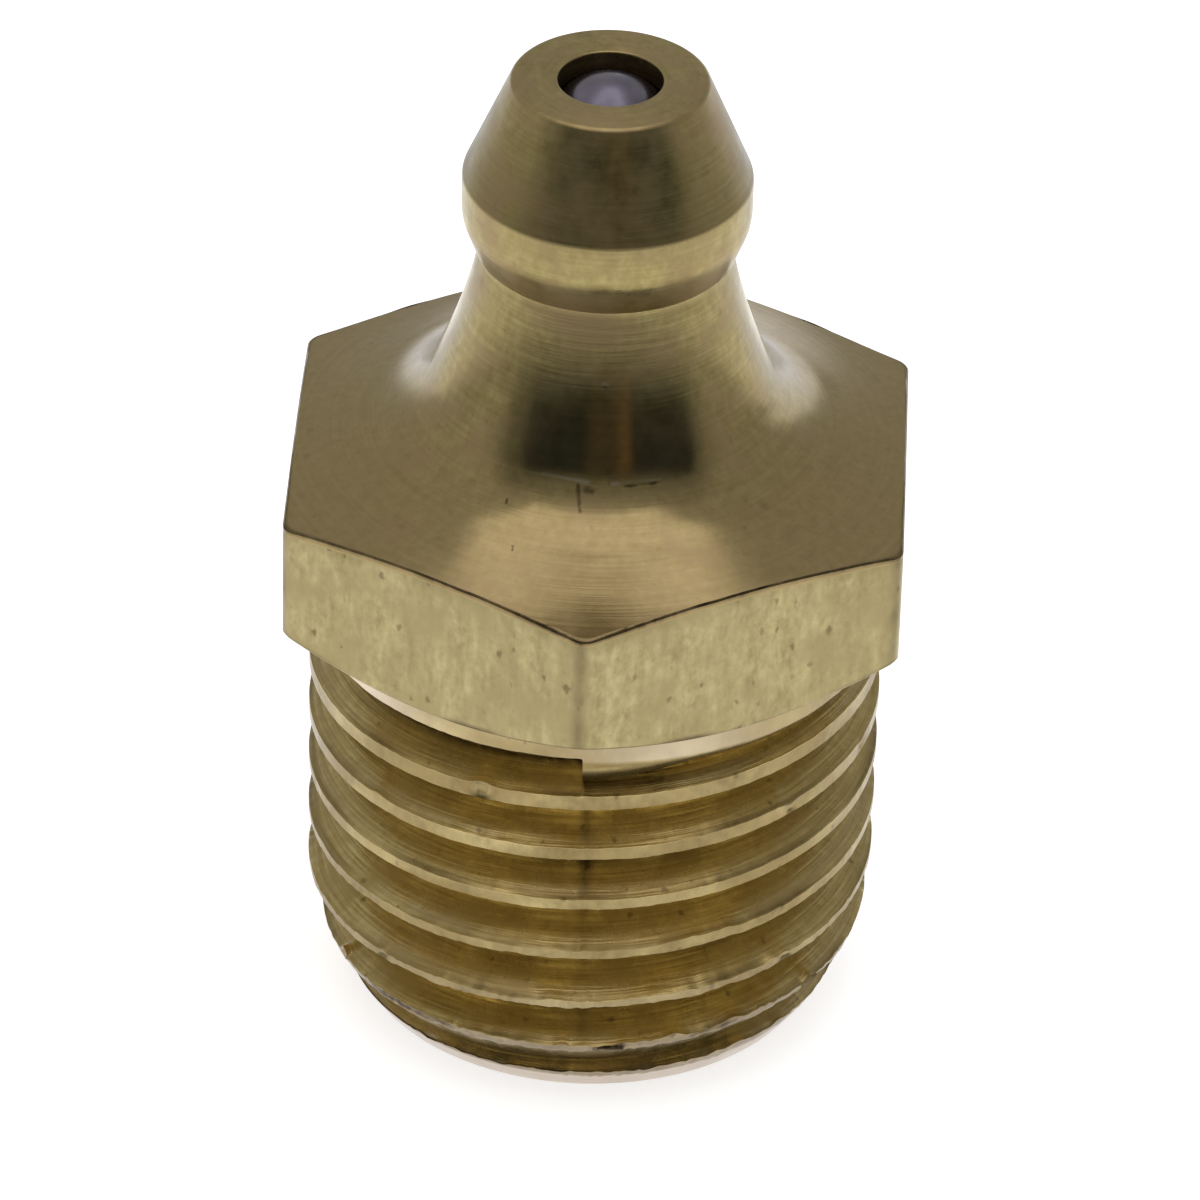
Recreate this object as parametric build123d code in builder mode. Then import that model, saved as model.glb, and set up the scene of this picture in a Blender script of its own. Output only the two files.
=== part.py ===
from build123d import *
import os
from math import cos, radians, sin, sqrt, tan

# A grease nipple with a threaded shank: one turned brass body, and the check ball and
# spring inside it. Lengths are in millimetres and angles in degrees. +Z runs along the
# axis, from the shank's end face at z = 0 to the tip, and one hexagon corner faces -Y.

# Shank, at the diameter over its thread
shank_diameter = 13.2
shank_length = 10.6
shank_end_diameter = 10.9     # end face, at the foot of the lead chamfer
lead_height = 2.9             # height of the lead chamfer

# Hexagon
hex_across_flats = 13.9
hex_height = 3.54             # underside to the upper end of a corner
hex_corner_radius = 0.45
hex_seat_diameter = 13.8      # flat underside, inside the chamfer
hex_chamfer_angle = 30.0
shoulder_angle = 10.0         # fall of the shoulder towards the corners

# Neck, which flares into the shoulder in two arcs
neck_diameter = 5.66
neck_angle = 10.0             # slope from the axis at the top of the long arc
flare_angle = 24.7            # slope from the axis where the two arcs meet
long_arc_radius = 13.57
short_arc_radius = 2.96

# Grip head, the end that the grease coupler takes hold of
head_diameter = 6.5
head_foot_diameter = 5.86
head_taper_height = 0.83
band_height = 1.0
cone_height = 2.45
tip_diameter = 4.4
band_lower_radius = 0.9
band_upper_radius = 0.3

# Grease passage, from the mouth in the tip to the inlet in the end face
mouth_diameter = 2.34
seat_half_angle = 37.0
chamber_diameter = 3.4        # holds the ball and the spring
lip_diameter = 2.1            # rolled lip under the spring
lip_height = 0.5
inlet_diameter = 6.5
inlet_depth = 11.0            # full diameter, below the drill point
drill_point_angle = 118.0

# Check ball and spring
ball_diameter = 3.0
ball_depth = 0.02             # top of the ball below the tip
seat_clearance = 0.03
spring_wire_diameter = 0.35
spring_diameter = 2.5         # middle of the wire
spring_coils = 6
spring_clearance = 0.03       # at the lip and at the ball

# Radii that follow
shank_radius = shank_diameter / 2
neck_radius = neck_diameter / 2
mouth_radius = mouth_diameter / 2
chamber_radius = chamber_diameter / 2
lip_radius = lip_diameter / 2
inlet_radius = inlet_diameter / 2
ball_radius = ball_diameter / 2
spring_radius = spring_diameter / 2
wire_radius = spring_wire_diameter / 2
sharp_corner_radius = hex_across_flats / 2 / cos(radians(30))
corner_radius = sharp_corner_radius - hex_corner_radius * (1 / cos(radians(30)) - 1)

# The width and height that the flare's two arcs span
top_slope = radians(neck_angle)
middle_slope = radians(flare_angle)
foot_slope = radians(90 - shoulder_angle)
flare_foot_radius = (
    neck_radius
    + long_arc_radius * (cos(top_slope) - cos(middle_slope))
    + short_arc_radius * (cos(middle_slope) - cos(foot_slope))
)
flare_height = long_arc_radius * (sin(middle_slope) - sin(top_slope))
flare_height += short_arc_radius * (sin(foot_slope) - sin(middle_slope))

# Heights that follow, from the shank up to the tip
corner_z = shank_length + hex_height
shoulder_fall = tan(radians(shoulder_angle))
flare_foot_z = corner_z + (corner_radius - flare_foot_radius) * shoulder_fall
shoulder_edge_z = corner_z - (sharp_corner_radius - corner_radius) * shoulder_fall
chamfer_rise = (sharp_corner_radius - hex_seat_diameter / 2) * tan(radians(hex_chamfer_angle))
neck_z = flare_foot_z + flare_height
band_z = neck_z + head_taper_height
cone_z = band_z + band_height
tip_z = cone_z + cone_height

# The ball hangs just under its seat, and the spring reaches from the lip to the circle
# where its wire meets the ball
ball_z = tip_z - ball_depth - ball_radius
seat_slope = radians(seat_half_angle)
seat_reach = ball_radius + seat_clearance
seat_touch_z = ball_z + seat_reach * sin(seat_slope)
seat_z = seat_touch_z + (seat_reach * cos(seat_slope) - mouth_radius) / tan(seat_slope)
seat_foot_z = seat_z - (chamber_radius - mouth_radius) / tan(seat_slope)
lip_z = inlet_depth + (inlet_radius - lip_radius) / tan(radians(drill_point_angle / 2))
chamber_z = lip_z + lip_height
spring_z = chamber_z + wire_radius + spring_clearance
spring_reach = ball_radius + wire_radius + spring_clearance
spring_height = ball_z - sqrt(spring_reach**2 - spring_radius**2) - spring_z

os.makedirs("parts", exist_ok=True)

with BuildPart() as nipple_body:
    # Turned outline: shank, hexagon blank, shoulder, flare, neck and grip head
    with BuildSketch(Plane.XZ) as turned_outline:
        with BuildLine():
            head = FilletPolyline(
                (head_foot_diameter / 2, neck_z),
                (head_diameter / 2, band_z),
                (head_diameter / 2, cone_z),
                (tip_diameter / 2, tip_z),
                (0, tip_z),
                radius=(band_lower_radius, band_upper_radius, 0),
            )
            Line(head @ 0, (neck_radius, neck_z))
            long_arc = JernArc(
                (neck_radius, neck_z),
                (sin(top_slope), -cos(top_slope)),
                long_arc_radius,
                flare_angle - neck_angle,
            )
            short_arc = JernArc(
                long_arc @ 1,
                long_arc % 1,
                short_arc_radius,
                90 - shoulder_angle - flare_angle,
            )
            Polyline(
                short_arc @ 1,
                (sharp_corner_radius, shoulder_edge_z),
                (sharp_corner_radius, shank_length + chamfer_rise),
                (hex_seat_diameter / 2, shank_length),
                (shank_radius, shank_length),
                (shank_radius, lead_height),
                (shank_end_diameter / 2, 0),
                (0, 0),
                (0, tip_z),
            )
        make_face()
    revolve(axis=Axis.Z)

    # The bar that the body is turned from is a hexagon, and leaves its six flats
    with BuildSketch() as hexagon_bar:
        RegularPolygon(hex_across_flats / 2, 6, major_radius=False, rotation=30)
        fillet(hexagon_bar.vertices(), radius=hex_corner_radius)
    extrude(amount=tip_z, mode=Mode.INTERSECT)

    # Grease passage: mouth, ball seat, chamber, rolled lip, drill point and inlet
    with BuildSketch(Plane.XZ) as passage:
        with BuildLine():
            Polyline(
                (0, tip_z),
                (mouth_radius, tip_z),
                (mouth_radius, seat_z),
                (chamber_radius, seat_foot_z),
                (chamber_radius, chamber_z),
                (lip_radius, chamber_z),
                (lip_radius, lip_z),
                (inlet_radius, inlet_depth),
                (inlet_radius, 0),
                (0, 0),
                close=True,
            )
        make_face()
    revolve(axis=Axis.Z, mode=Mode.SUBTRACT)

nipple_body.part.label = "nipple_body"
export_step(nipple_body.part, "parts/nipple_body.step")

with BuildPart(Plane.XY.offset(ball_z)) as check_ball:
    Sphere(ball_radius)

check_ball.part.label = "check_ball"
export_step(check_ball.part, "parts/check_ball.step")

with BuildPart() as valve_spring:
    with BuildLine() as coil:
        Helix(spring_height / spring_coils, spring_height, spring_radius, center=(0, 0, spring_z))
    # Six flats stand for the round wire, which keeps the coil light
    with BuildSketch(Plane(coil.line @ 0, z_dir=coil.line % 0)):
        RegularPolygon(wire_radius, 6)
    sweep(path=coil.line, is_frenet=True)

valve_spring.part.label = "valve_spring"
export_step(valve_spring.part, "parts/valve_spring.step")
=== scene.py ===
"""A brass grease nipple: the turned body with its taper thread, the check ball and the spring.

Lengths below are in millimetres and angles in degrees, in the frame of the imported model:
+Z runs along the axis from the end face to the tip, and one hexagon corner faces -Y.
"""

from math import atan2, ceil, cos, pi, radians, sin, tan

import bmesh
import bpy
import numpy as np
from mathutils import Matrix, Vector


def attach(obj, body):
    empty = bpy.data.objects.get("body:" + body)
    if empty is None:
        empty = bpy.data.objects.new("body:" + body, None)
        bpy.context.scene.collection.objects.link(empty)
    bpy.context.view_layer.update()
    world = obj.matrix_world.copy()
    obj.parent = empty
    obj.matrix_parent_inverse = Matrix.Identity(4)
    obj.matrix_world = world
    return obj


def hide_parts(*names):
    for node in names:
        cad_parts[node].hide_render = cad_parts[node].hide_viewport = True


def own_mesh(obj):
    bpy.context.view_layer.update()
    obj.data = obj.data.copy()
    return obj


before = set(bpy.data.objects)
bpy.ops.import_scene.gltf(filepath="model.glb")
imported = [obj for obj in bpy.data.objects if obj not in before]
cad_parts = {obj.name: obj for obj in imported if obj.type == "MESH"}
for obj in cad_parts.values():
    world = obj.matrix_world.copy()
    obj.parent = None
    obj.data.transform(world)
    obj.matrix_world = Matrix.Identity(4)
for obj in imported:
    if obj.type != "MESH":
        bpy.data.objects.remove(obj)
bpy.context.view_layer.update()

MM = 0.001
MM_PER_METRE = 1000.0

# Shank and its taper thread
SHANK_RADIUS = 6.6
SHANK_LENGTH = 10.6
SHANK_END_RADIUS = 5.45
LEAD_HEIGHT = 2.9
LEAD_CURVE = 1.7              # the lead chamfer is a little rounded
PITCH = 25.4 / 18
FIRST_GROOVE_Z = 9.475        # middle of the top groove at the front corner
APEX_RADIUS = 5.42            # sharp bottom of the vee at the end face
APEX_TAPER = 1 / 32
ROOT_LIFT = 0.08              # the chaser's worn tip leaves the root this much above the vee
FLANK_SLOPE = 1 / tan(radians(30))
RUNOUT_TOP = 10.0             # top of the last groove, up to where the chaser stopped
RUNOUT_LOW = 9.95             # and beyond there, where the next chaser has only begun to cut
RUNOUT_DEEPENS = 0.13         # turns, over which it cuts to its depth
CHASER_STOP = -0.0005         # turns from the front corner
CHASER_TURN = 0.25            # four chasers share the cut
STEP_WIDTH = 0.0006           # turns, over which the chaser's step rises
RUNOUT_BOTTOM = (0.2, 0.5)    # there the bottom lies this far above the lower edge, start and end
END_RING_TOP = 0.42           # unthreaded ring at the end face
CREST_WEAR = 0.14             # lost from each edge of the crests near the end ring
RING_ROOT_DROP = 0.10         # the groove is deeper beside the end ring

# Hexagon
FLAT_RADIUS = 6.95
SHARP_CORNER_RADIUS = FLAT_RADIUS / cos(radians(30))
HEX_CORNER_ROUND = 0.45
CORNER_RADIUS = SHARP_CORNER_RADIUS - HEX_CORNER_ROUND * (1 / cos(radians(30)) - 1)
CORNER_Z = SHANK_LENGTH + 3.54
HEX_SEAT_RADIUS = 6.9
CHAMFER_SLOPE = tan(radians(30))
SHOULDER_SLOPE = tan(radians(10))
EDGE_BREAK = 0.035

# Neck and the two arcs of its flare
NECK_RADIUS = 2.83
LONG_ARC = 13.57
SHORT_ARC = 2.96
TOP_SLOPE = radians(10)
MIDDLE_SLOPE = radians(24.7)
FOOT_SLOPE = radians(80)
MIDDLE_RADIUS = NECK_RADIUS + LONG_ARC * (cos(TOP_SLOPE) - cos(MIDDLE_SLOPE))
FLARE_FOOT_RADIUS = MIDDLE_RADIUS + SHORT_ARC * (cos(MIDDLE_SLOPE) - cos(FOOT_SLOPE))
FLARE_FOOT_Z = CORNER_Z + (CORNER_RADIUS - FLARE_FOOT_RADIUS) * SHOULDER_SLOPE
MIDDLE_Z = FLARE_FOOT_Z + SHORT_ARC * (sin(FOOT_SLOPE) - sin(MIDDLE_SLOPE))
NECK_Z = MIDDLE_Z + LONG_ARC * (sin(MIDDLE_SLOPE) - sin(TOP_SLOPE))
EASE_SLOPE = radians(70)      # the short arc ends here and eases into the shoulder
EASE_START_RADIUS = MIDDLE_RADIUS + SHORT_ARC * (cos(MIDDLE_SLOPE) - cos(EASE_SLOPE))
EASE_END_RADIUS = 7.8
RING_RADIUS = 6.9             # inside this the shoulder is round, outside it meets the hexagon
CORNER_DROP = 0.05            # the corners are a little rounded over

# Grip head
HEAD_FOOT_RADIUS = 2.93
HEAD_RADIUS = 3.25
BAND_Z = NECK_Z + 0.83
CONE_Z = BAND_Z + 1.0
TIP_Z = CONE_Z + 2.45
TIP_RADIUS = 2.2

# Grease passage
MOUTH_RADIUS = 1.17
CHAMBER_RADIUS = 1.7
LIP_RADIUS = 1.05
INLET_RADIUS = 3.25
INLET_DEPTH = 11.0
LIP_Z = 12.322
CHAMBER_Z = 12.822
SEAT_FOOT_Z = 22.516
SEAT_Z = 23.219

# Check ball and spring
BALL_RADIUS = 1.5
BALL_Z = TIP_Z - 0.02 - BALL_RADIUS
SPRING_FOOT_Z = 12.852
SPRING_TOP_Z = 21.245
SPRING_RADIUS = 1.25
WIRE_RADIUS = 0.175
SPRING_TURNS = 8.5

WANDER_VALUES = 4096          # random values before wander repeats
EVEN_COLUMNS = 327            # columns of the body's mesh before the closer ones are added
COLUMN_GAP = 0.0009           # turns that an even column keeps from a closer one
FLAT_STRIPS = 14              # strips of the mesh that are drawn bar, from the thread up
END_FACE_STRIPS = 2
CREST_BURR = 0.03             # a crest stands at most this far out of the blank

# Colours of the marks on the brass, among them the brown of dirt and of painted shade and the pale of rubbing
# and of painted highlights, and of the steel's darker clouds
SPECK_BROWN = "4E4529"
PALE_RUB_AND_HIGHLIGHT = "D6CABC"
GREASE_AND_SHADE_BROWN = "3A2A1C"
STEEL_CLOUD = "5C5864"
# the mask of dirt and painted shade also roughens the metal where it paints shade
DIRT_AND_SHADE_ROUGHNESS = 0.18         # added to the metal's where dirt covers it

def smooth(x):
    """0 to 1 in an S-curve as x goes from 0 to 1."""
    x = np.clip(x, 0, 1)
    return x * x * (3 - 2 * x)


def edge(x, start, end):
    """0 before start, 1 past end, and an S-curve between."""
    return smooth((x - start) / (end - start))


def between(x, low, high, soft):
    """1 between low and high and 0 outside, with edges soft wide."""
    return edge(x, low - soft / 2, low + soft / 2) * (1 - edge(x, high - soft / 2, high + soft / 2))


def bell(x, centre, width, power=2):
    """1 at the centre, falling off on both sides; a higher power gives a flatter top."""
    return np.exp(-((x - centre) / width) ** power)


def wander(x, seed, per_turn):
    """Smooth random values between -1 and 1, with per_turn new ones in each turn of x."""
    values = np.random.RandomState(seed).uniform(-1, 1, WANDER_VALUES)
    place = np.asarray(x, float) * per_turn + WANDER_VALUES // 2
    left = np.floor(place).astype(int)
    start, end = values[left % WANDER_VALUES], values[(left + 1) % WANDER_VALUES]
    return start + (end - start) * smooth(place - left)


def rounded(corners):
    """(radius, height) points along an outline whose corners (radius, height, fillet) are rounded."""
    points = []
    for i, (r, z, fillet) in enumerate(corners):
        here = Vector((r, z))
        if fillet == 0 or i in (0, len(corners) - 1):
            points.append(here)
            continue
        back = (Vector(corners[i - 1][:2]) - here).normalized()
        ahead = (Vector(corners[i + 1][:2]) - here).normalized()
        half = back.angle(ahead) / 2
        centre = here + (back + ahead).normalized() * fillet / sin(half)
        start = here + back * fillet / tan(half) - centre
        end = here + ahead * fillet / tan(half) - centre
        turn = start.angle_signed(end)
        count = max(2, ceil(abs(turn) / radians(5 if fillet > 0.09 else 20)))
        for k in range(count + 1):
            swung = Matrix.Rotation(-turn * k / count, 2) @ start
            points.append(centre + swung)
    return [tuple(p) for p in points]


# ---------------------------------------------------------------- body mesh


def column_turns():
    """Turns from the front corner for each column of the mesh, closer at corners and stops."""
    even = np.linspace(-0.5, 0.5, EVEN_COLUMNS)
    corner = np.radians(np.linspace(-1.63, 1.63, 9)) / (2 * pi)
    corners = np.concatenate([corner + k / 6 for k in range(-2, 3)] + [corner[4:] - 0.5, corner[:5] + 0.5])
    stops = [CHASER_STOP + k * CHASER_TURN + side * STEP_WIDTH / 2
             for k in (-2, -1, 0, 1, 2) for side in (-1, 1)]
    marks = [CHASER_STOP + k * CHASER_TURN + side
             for k in (-1, 0, 1) for side in (0.0018, 0.0034, 0.005)]
    fixed = np.concatenate([corners, stops, marks])
    fixed = fixed[(fixed >= -0.5) & (fixed <= 0.5)]
    free = even[np.min(np.abs(even[:, None] - fixed[None, :]), axis=1) > COLUMN_GAP]
    return np.unique(np.round(np.concatenate([free, fixed, [-0.5, 0.5]]), 7))


TURNS = column_turns()


def hex_radius(turns):
    """Distance from the axis to the hexagon's side, with its rounded corners."""
    off_corner = np.abs((turns * 6 + 0.5) % 1 - 0.5) / 6 * 2 * pi
    side = FLAT_RADIUS / np.cos(radians(30) - off_corner)
    centre = CORNER_RADIUS - HEX_CORNER_ROUND
    across = centre * np.sin(off_corner)
    corner = centre * np.cos(off_corner) + np.sqrt(np.maximum(HEX_CORNER_ROUND**2 - across**2, 0))
    tangent = HEX_CORNER_ROUND * tan(radians(30))
    limit = atan2(tangent * sin(radians(60)), SHARP_CORNER_RADIUS - tangent * cos(radians(60)))
    return np.where(off_corner < limit, corner, side)


def shoulder_z(r):
    """Height of the shoulder, which falls 10 degrees at the corners and eases into the flare."""
    ease = np.clip(EASE_END_RADIUS - r, 0, None)
    bend = (1 / tan(EASE_SLOPE) - SHOULDER_SLOPE) / (EASE_END_RADIUS - EASE_START_RADIUS)
    return CORNER_Z - CORNER_DROP + (CORNER_RADIUS - r) * SHOULDER_SLOPE + bend * ease**2 / 2


def shank_radius(z):
    """The blank before threading: a cylinder with the lead chamfer at its end."""
    left = np.clip(1 - z / LEAD_HEIGHT, 0, 1)
    return SHANK_RADIUS - (SHANK_RADIUS - SHANK_END_RADIUS) * left**LEAD_CURVE


def past_stop(helix, turns_before=0):
    """0 up to the chaser's stop and 1 past it, or past a place turns_before it."""
    return smooth((helix - CHASER_STOP + turns_before) / STEP_WIDTH + 0.5)


def groove(helix):
    """Lower edge, bottom and upper edge of the groove, and its root radius, helix turns above the front.

    Low on the shank the crests wear thin. The top end is held level by the chasers, and past
    their stop it is shallow. The end ring has no groove.
    """
    middle = FIRST_GROOVE_Z + PITCH * helix
    apex = APEX_RADIUS + APEX_TAPER * middle
    low = high = middle
    for _ in range(20):
        low = middle - np.clip((shank_radius(low) - apex) / FLANK_SLOPE, 0, None)
        high = middle + np.clip((shank_radius(high) - apex) / FLANK_SLOPE, 0, None)
    low = low - CREST_WEAR * (1 - smooth((low - 1.4) / 1.2))
    high = high + CREST_WEAR * (1 - smooth((high - 1.4) / 1.2))
    ring = END_RING_TOP * smooth((helix + 7.4) / 0.2)
    at_ring = smooth((ring + 0.15 - low) / 0.3)
    low = np.maximum(low, ring)
    held, past = past_stop(helix, CHASER_TURN), past_stop(helix)
    high = high + (RUNOUT_TOP - high) * held
    high = np.maximum(high + (RUNOUT_LOW - high) * past, low)
    low, high = np.clip(low, 0, SHANK_LENGTH), np.clip(high, 0, SHANK_LENGTH)
    root = np.minimum(apex + ROOT_LIFT - RING_ROOT_DROP * at_ring, shank_radius(middle))
    foot_of_flank = low + np.maximum(shank_radius(low) - root, 0.02) / FLANK_SLOPE
    bottom = np.minimum(foot_of_flank, middle)
    first, last = RUNOUT_BOTTOM
    shallow = low + np.minimum(first + (last - first) * smooth(helix / RUNOUT_DEEPENS), (high - low) * 0.4)
    bottom = np.clip(bottom + (shallow - bottom) * past, low, high)
    depth = np.minimum(SHANK_RADIUS - apex - ROOT_LIFT, np.maximum(bottom - low, 0) * FLANK_SLOPE)
    root = np.minimum(root, shank_radius(bottom)) + (SHANK_RADIUS - depth - root) * past
    return low, bottom, high, root


def thread_radius(z):
    """Radius of the threaded shank at a height for each column."""
    radius = shank_radius(z)
    for k in range(8, -3, -1):
        low, bottom, high, root = groove(TURNS - k)
        past = past_stop(TURNS - k)
        rise = np.clip((z - low) / np.maximum(bottom - low, 1e-6), 0, 1)
        fall = np.clip((high - z) / np.maximum(high - bottom, 1e-6), 0, 1) ** (1 + 0.8 * past)
        wall = np.where(z < bottom, rise, fall)
        cut = shank_radius(np.where(z < bottom, low, high))
        inside = (z > low) & (z < high)
        radius = np.where(inside, np.minimum(radius, cut + (root - cut) * wall), radius)
    return radius


LAND_STEPS = (0, 0.33, 0.67, 0.94)
FLANK_STEPS = (0, 0.05, 0.2, 0.45, 0.75, 1.0)
HIDDEN_FLANK_STEPS = (0.75, 0.45, 0.15)

# Nicks and burrs along the crests: turns from the front, height, width in turns, and how far
# the crest's upper edge and its face move (mm, up and out)
CREST_MARKS = [
    (-0.0560, 8.95, 0.0055, 0.12, -0.10), (-0.1273, 7.50, 0.0050, 0.07, 0.03),
    (0.1254, 7.80, 0.0050, -0.07, -0.07), (0.1964, 7.62, 0.0040, -0.08, -0.08),
    (0.0649, 4.80, 0.0160, 0.09, 0.02), (0.0849, 4.72, 0.0060, 0.05, 0.01),
    (0.0579, 3.10, 0.0200, 0.05, 0.02), (0.0562, 1.86, 0.0060, 0.09, 0.06),
    (0.0939, 1.92, 0.0070, 0.07, 0.05), (-0.1743, 1.55, 0.0040, 0.16, -0.22),
    (-0.1219, 3.00, 0.0040, 0.08, -0.08), (0.1264, 3.35, 0.0050, 0.08, -0.08),
    (0.1540, 2.00, 0.0060, 0.12, -0.20), (-0.3300, 6.10, 0.0060, 0.08, -0.12),
    (0.3700, 4.30, 0.0080, 0.09, 0.03), (0.4300, 8.30, 0.0060, -0.08, -0.12),
    (-0.4100, 3.20, 0.0070, 0.10, -0.10),
]
# Where the last crest has split lengthwise: turns from the front, half the length, how open
CREST_SPLITS = [
    (-0.108, 0.034, 0.45), (0.019, 0.009, 1.0), (0.083, 0.016, 0.35), (0.31, 0.03, 0.7),
    (-0.29, 0.02, 0.7),
]
CREST_MARK_HEIGHT = 0.3


def crest_marks(z):
    """The marks' shift of the crest's edge and of its face for each column."""
    rise, out = np.zeros_like(TURNS), np.zeros_like(TURNS)
    for turn, height, width, edge_shift, crest_shift in CREST_MARKS:
        off = (TURNS - turn + 0.5) % 1 - 0.5
        near = bell(off, 0, width) * bell(z, height, CREST_MARK_HEIGHT)
        rise, out = rise + near * edge_shift, out + near * crest_shift
    return rise, out


def crest_split(z):
    """1 where the last crest has split, for each column."""
    split = np.zeros_like(TURNS)
    for turn, half, opened in CREST_SPLITS:
        off = np.abs((TURNS - turn + 0.5) % 1 - 0.5)
        split = np.maximum(split, opened * (1 - smooth((off - half + 0.004) / 0.006)))
    return split * bell(z, 1.8, 0.5, power=4)


def tear_depth(z):
    """How far a crest's edge strays: the thin crests, where the cut began, are torn more."""
    return 0.012 + 0.030 * (1 - smooth((z - 1.5) / 5.5))


def torn_line(helix, seed, per_turn):
    """Fine and coarse tears along a crest's edge."""
    return 0.8 * wander(helix, seed, 300) + 0.7 * wander(helix, seed + 1, per_turn)


def thread_rows():
    """Rows of (height, radius, dirt and painted shade, rubbing and painted highlights) columns, from the end
    face up to the hexagon's seat.

    Each turn of the thread has a crest's land, the flank above it that faces up, and the
    flank that faces down; all follow the helix, so the rows of one turn meet the next.
    """
    rows = []
    flat = np.zeros_like(TURNS)

    # painted highlights on the ring between the top groove and the hexagon, in two places, and darker between
    # them
    painted_ring_highlight = 0.1 + 0.6 * bell(TURNS, -0.14, 0.045) + 0.36 * bell(TURNS, 0.05, 0.05)

    def row(z, shift=0.0, out=0.0, dirt_and_shade=0.0, rubbed_and_highlight=0.0):
        # above the top groove the ring takes its painted highlights and the darker tone between them
        top_ring = smooth((z - RUNOUT_LOW + 0.1) / 0.1)
        rubbed_and_highlight = rubbed_and_highlight * (1 - top_ring) + top_ring * painted_ring_highlight
        dirt_and_shade = dirt_and_shade * (1 - top_ring) + top_ring * (0.32 - 0.45 * painted_ring_highlight)
        inner = smooth((z - END_RING_TOP - 0.02) / 0.05) * smooth((SHANK_LENGTH - 0.3 - z) / 0.1)
        moved = z + shift * inner
        radius = np.minimum(thread_radius(z), shank_radius(moved) + CREST_BURR) + out * inner
        rows.append((moved, radius, np.clip(flat + dirt_and_shade, 0, 1), np.clip(flat + rubbed_and_highlight, 0, 1)))

    for k in range(7, -3, -1):
        helix = TURNS - k
        low, bottom, high, root = groove(helix)
        foot = groove(helix - 1)[2]
        stray = tear_depth(low) * smooth((low - foot) / 0.08)
        torn = stray * torn_line(helix, 11, 70)
        torn_foot = stray * torn_line(helix, 13, 60)
        rise, out = crest_marks(low)
        split = crest_split(low)
        # the end ring is painted pale: a painted reflection of the white paper beside it
        end_ring = smooth((END_RING_TOP + 0.05 - low) / 0.02)
        land_dirt = 0.38 + 0.06 * wander(helix, 16, 60) + 0.02 * wander(helix, 26, 300)
        land_rubbed = 0.05 + 0.3 * (1 - smooth((low - 1) / 4))
        for part in LAND_STEPS:
            inside = sin(pi * part)
            row(foot + (low - foot) * part, shift=torn_foot * (1 - part) + (torn + rise) * part,
                out=inside * (out + 0.006 * wander(helix, 15, 170) - 0.09 * split),
                dirt_and_shade=(1 - end_ring) * land_dirt + split * inside,
                rubbed_and_highlight=0.8 * end_ring + (1 - end_ring) * land_rubbed)
        cut = smooth((high - low) / 0.1)
        stops = (helix - CHASER_STOP - 0.003 + CHASER_TURN / 2) % CHASER_TURN - CHASER_TURN / 2
        stop_mark = bell(np.abs(stops), 0, 0.0035) * (0.34 + 0.2 * wander(helix, 5, 6))
        held, past = past_stop(helix, CHASER_TURN), past_stop(helix)
        for part in FLANK_STEPS:
            # painted shade: a dark line just above each crest, blackest above the end ring
            line = bell(part, 0.05, 0.06) * (0.14 + 0.5 * wander(helix, 17, 23) + 0.7 * (low < 0.6))
            line = line + 0.05 * bell(part, 0.12, 0.2)
            deep = max(part - 0.55, 0) / 0.45 * (0.12 + 0.35 * wander(helix, 18, 9))
            pale = bell(part, 0.25, 0.14) * (0.03 + 0.12 * wander(helix, 19, 11))
            dirt_and_shade = np.clip(line, 0, 1) + np.clip(deep, 0, 1) + stop_mark * min(part * 3, 1)
            # less of the dark past the chaser's stop, where the groove is shallow; where the chasers held the
            # top, a painted shadow at the root under the ring
            dirt_and_shade = dirt_and_shade * (1 - 0.75 * past) + 0.6 * (part == 1) * (held - past)
            # the lowest flank beside the end ring is painted lighter, with less dark and more pale: painted
            # light
            painted_light_beside_ring = (part > 0.1) * (1 - smooth((low - 0.7) / 0.6))
            dirt_and_shade, pale = dirt_and_shade * (1 - 0.9 * painted_light_beside_ring), pale + 0.12 * painted_light_beside_ring
            row(low + (bottom - low) * part, shift=(torn + rise) * (1 - part) ** 3,
                dirt_and_shade=cut * dirt_and_shade + (1 - cut) * 0.1 * (1 - end_ring),
                rubbed_and_highlight=cut * np.clip(pale, 0, 1) + (1 - cut) * 0.8 * end_ring)
        torn_above = tear_depth(high + 0.2) * torn_line(helix + 1, 13, 60)
        # the flanks that face down get painted shade, less of it near the end ring
        for part in HIDDEN_FLANK_STEPS:
            row(high + (bottom - high) * part, shift=torn_above * (1 - part) * cut,
                dirt_and_shade=cut * (0.35 + 0.1 * (helix > CHASER_STOP) * part
                            - 0.3 * (1 - smooth((high - 1.2) / 0.8))),
                rubbed_and_highlight=(1 - cut) * 0.8 * end_ring)
    # painted shade in the corner under the hexagon's seat
    row(flat + SHANK_LENGTH, dirt_and_shade=0.5)
    return rows


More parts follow.
